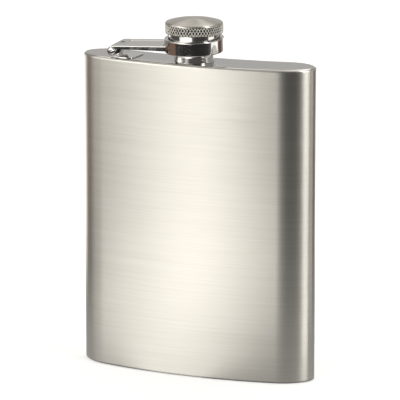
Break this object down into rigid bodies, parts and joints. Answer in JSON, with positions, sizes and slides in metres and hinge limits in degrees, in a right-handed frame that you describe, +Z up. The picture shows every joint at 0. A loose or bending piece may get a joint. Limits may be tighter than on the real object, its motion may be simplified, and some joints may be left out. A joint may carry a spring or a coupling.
{
  "type": "hip flask",
  "caption": "Curved brushed-steel pocket flask with a knurled screw cap held in a collar on a hinged arm.",
  "frame": {"origin": "middle of the underside of the whole flask, on the surface it stands on", "axes": "+Z up, X across the width, the convex front face looks along -Y, the hinge is on the -X side"},
  "size_m": [0.0958, 0.0245, 0.1394],
  "materials": {
    "brushed_steel": "fine horizontal brushing, satin gloss",
    "brushed_plate": "fine satin, a little finer than the wrap",
    "polished_steel": "mirror polished",
    "satin_steel": "circular brushed top, diamond knurled side",
    "silicone": "matt translucent white"
  },
  "bodies": {
    "flask": {"body_shell": "brushed_steel", "top_plate": "brushed_plate", "bottom_plate": "brushed_plate", "neck_tube": "polished_steel", "hinge_leaf": "polished_steel", "hinge_pin": "polished_steel"},
    "arm": {"hinge_arm": "polished_steel", "collar_cup": "polished_steel"},
    "seal": {"cap_seal": "silicone"},
    "cap": {"cap_knob": "satin_steel", "cap_sleeve": "polished_steel", "cap_snap_ring": "polished_steel"}
  },
  "joints": [
    {"name": "arm_swing", "type": "hinge", "parent": "flask", "child": "arm", "pos_m": [-0.0317, -0.00072, 0.12565], "axis": [0, -0.9986, -0.0523], "range_deg": [0, 165]},
    {"name": "cap_lift", "type": "slide", "parent": "arm", "child": "seal", "axis": [0, 0, 1], "range_m": [0, 0.0015]},
    {"name": "cap_turn", "type": "hinge", "parent": "seal", "child": "cap", "pos_m": [0, -0.00072, 0.133], "axis": [0, 0, 1], "range_deg": [0, 540]}
  ],
  "couplings": [
    {"joint": "cap_lift", "follows": "cap_turn", "m_per_rad": 0.00015915}
  ]
}
